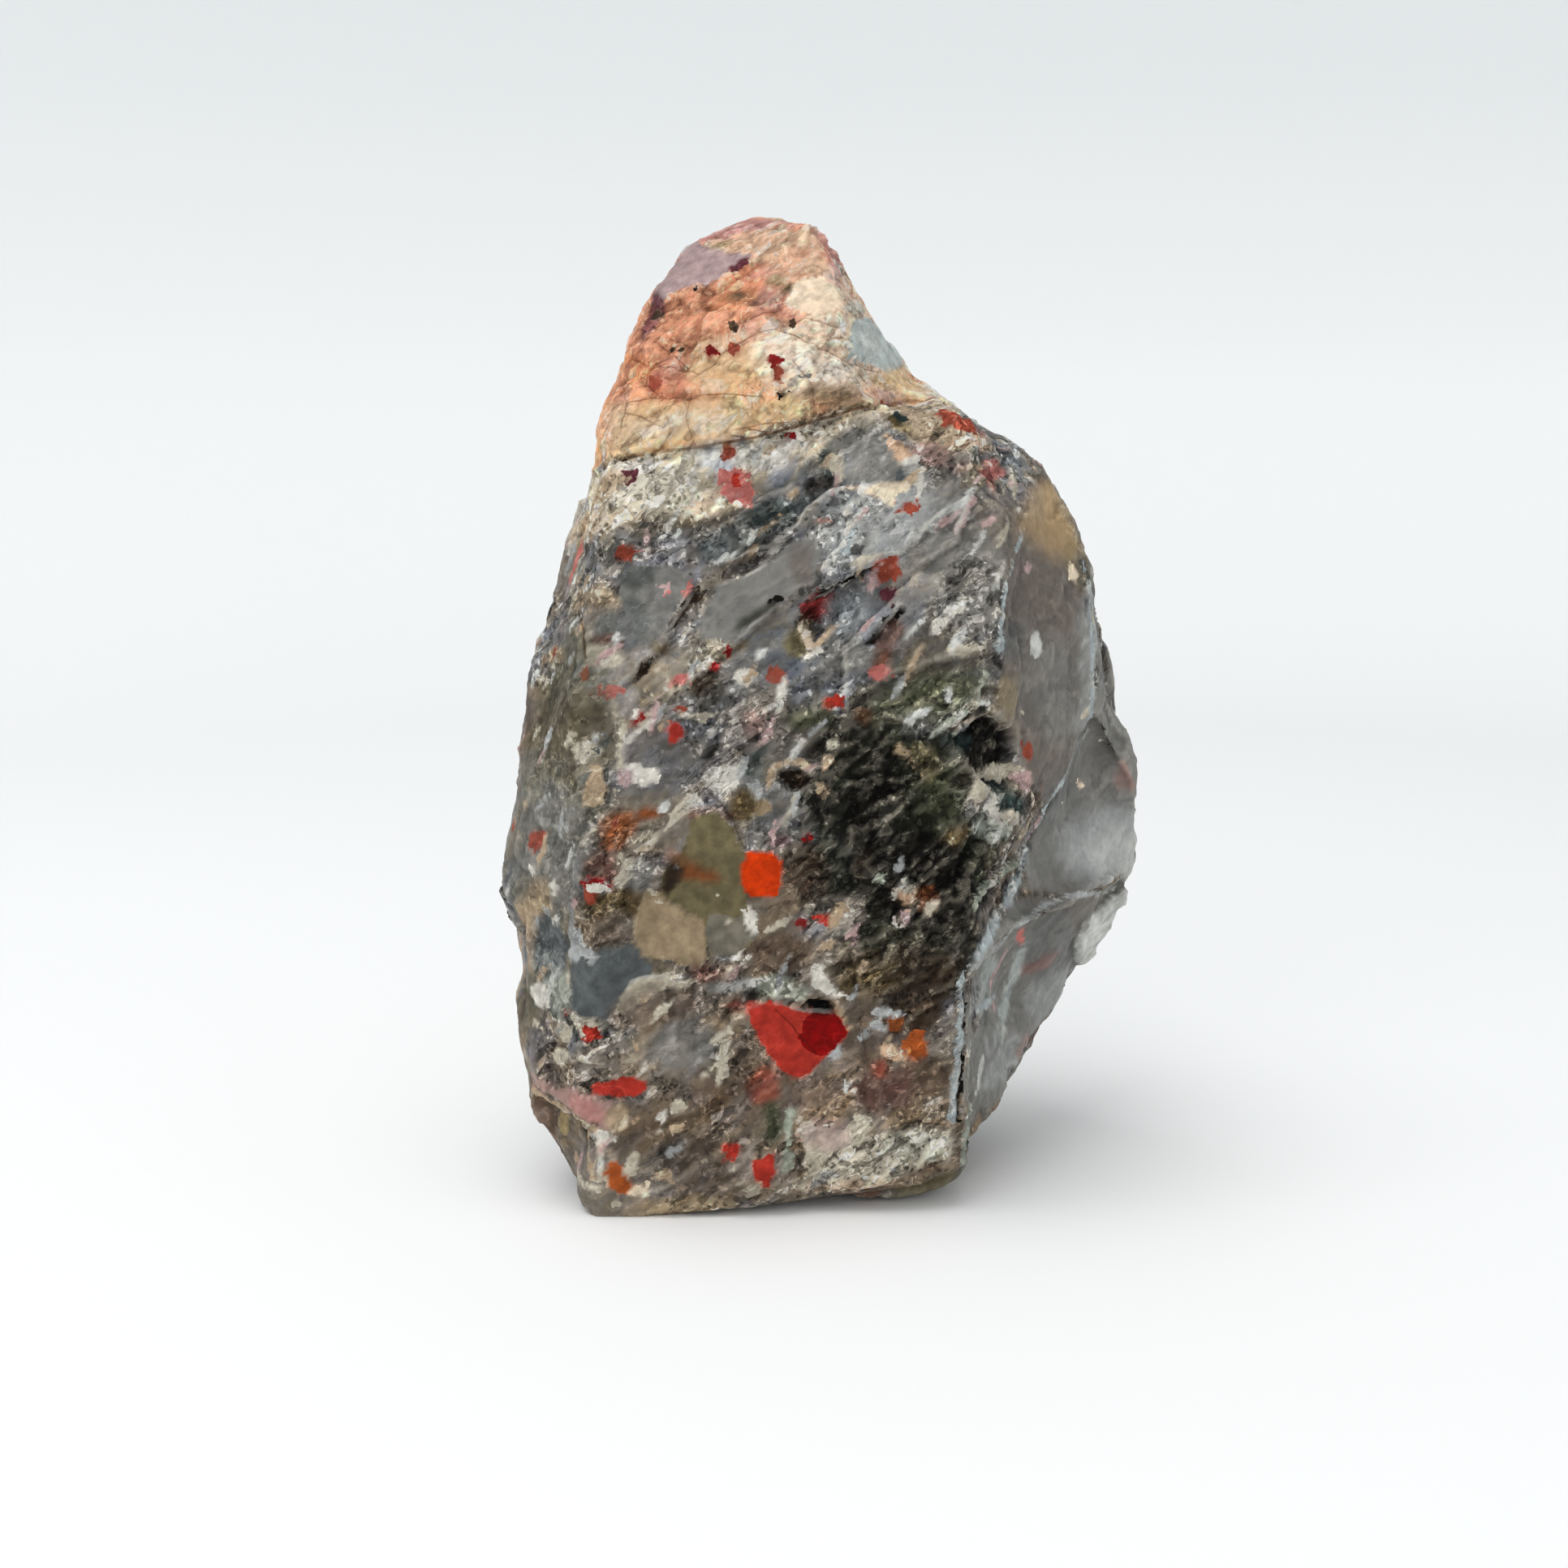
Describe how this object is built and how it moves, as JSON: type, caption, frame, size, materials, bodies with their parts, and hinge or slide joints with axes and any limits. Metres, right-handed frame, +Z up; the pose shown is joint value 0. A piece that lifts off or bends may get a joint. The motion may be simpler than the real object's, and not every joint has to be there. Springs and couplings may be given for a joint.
{
  "type": "rough bloodstone",
  "caption": "Rough broken lump of red-specked bloodstone with a tapering pale cap, standing on a small flat spot.",
  "frame": {"origin": "middle of the box around the stone, on the plane it stands on", "axes": "+Z up through the tapering cap, -Y towards the speckled front face"},
  "size_m": [0.055, 0.036, 0.08],
  "materials": {
    "stone": "satin"
  },
  "bodies": {
    "root": {"bloodstone": "stone"}
  },
  "joints": []
}
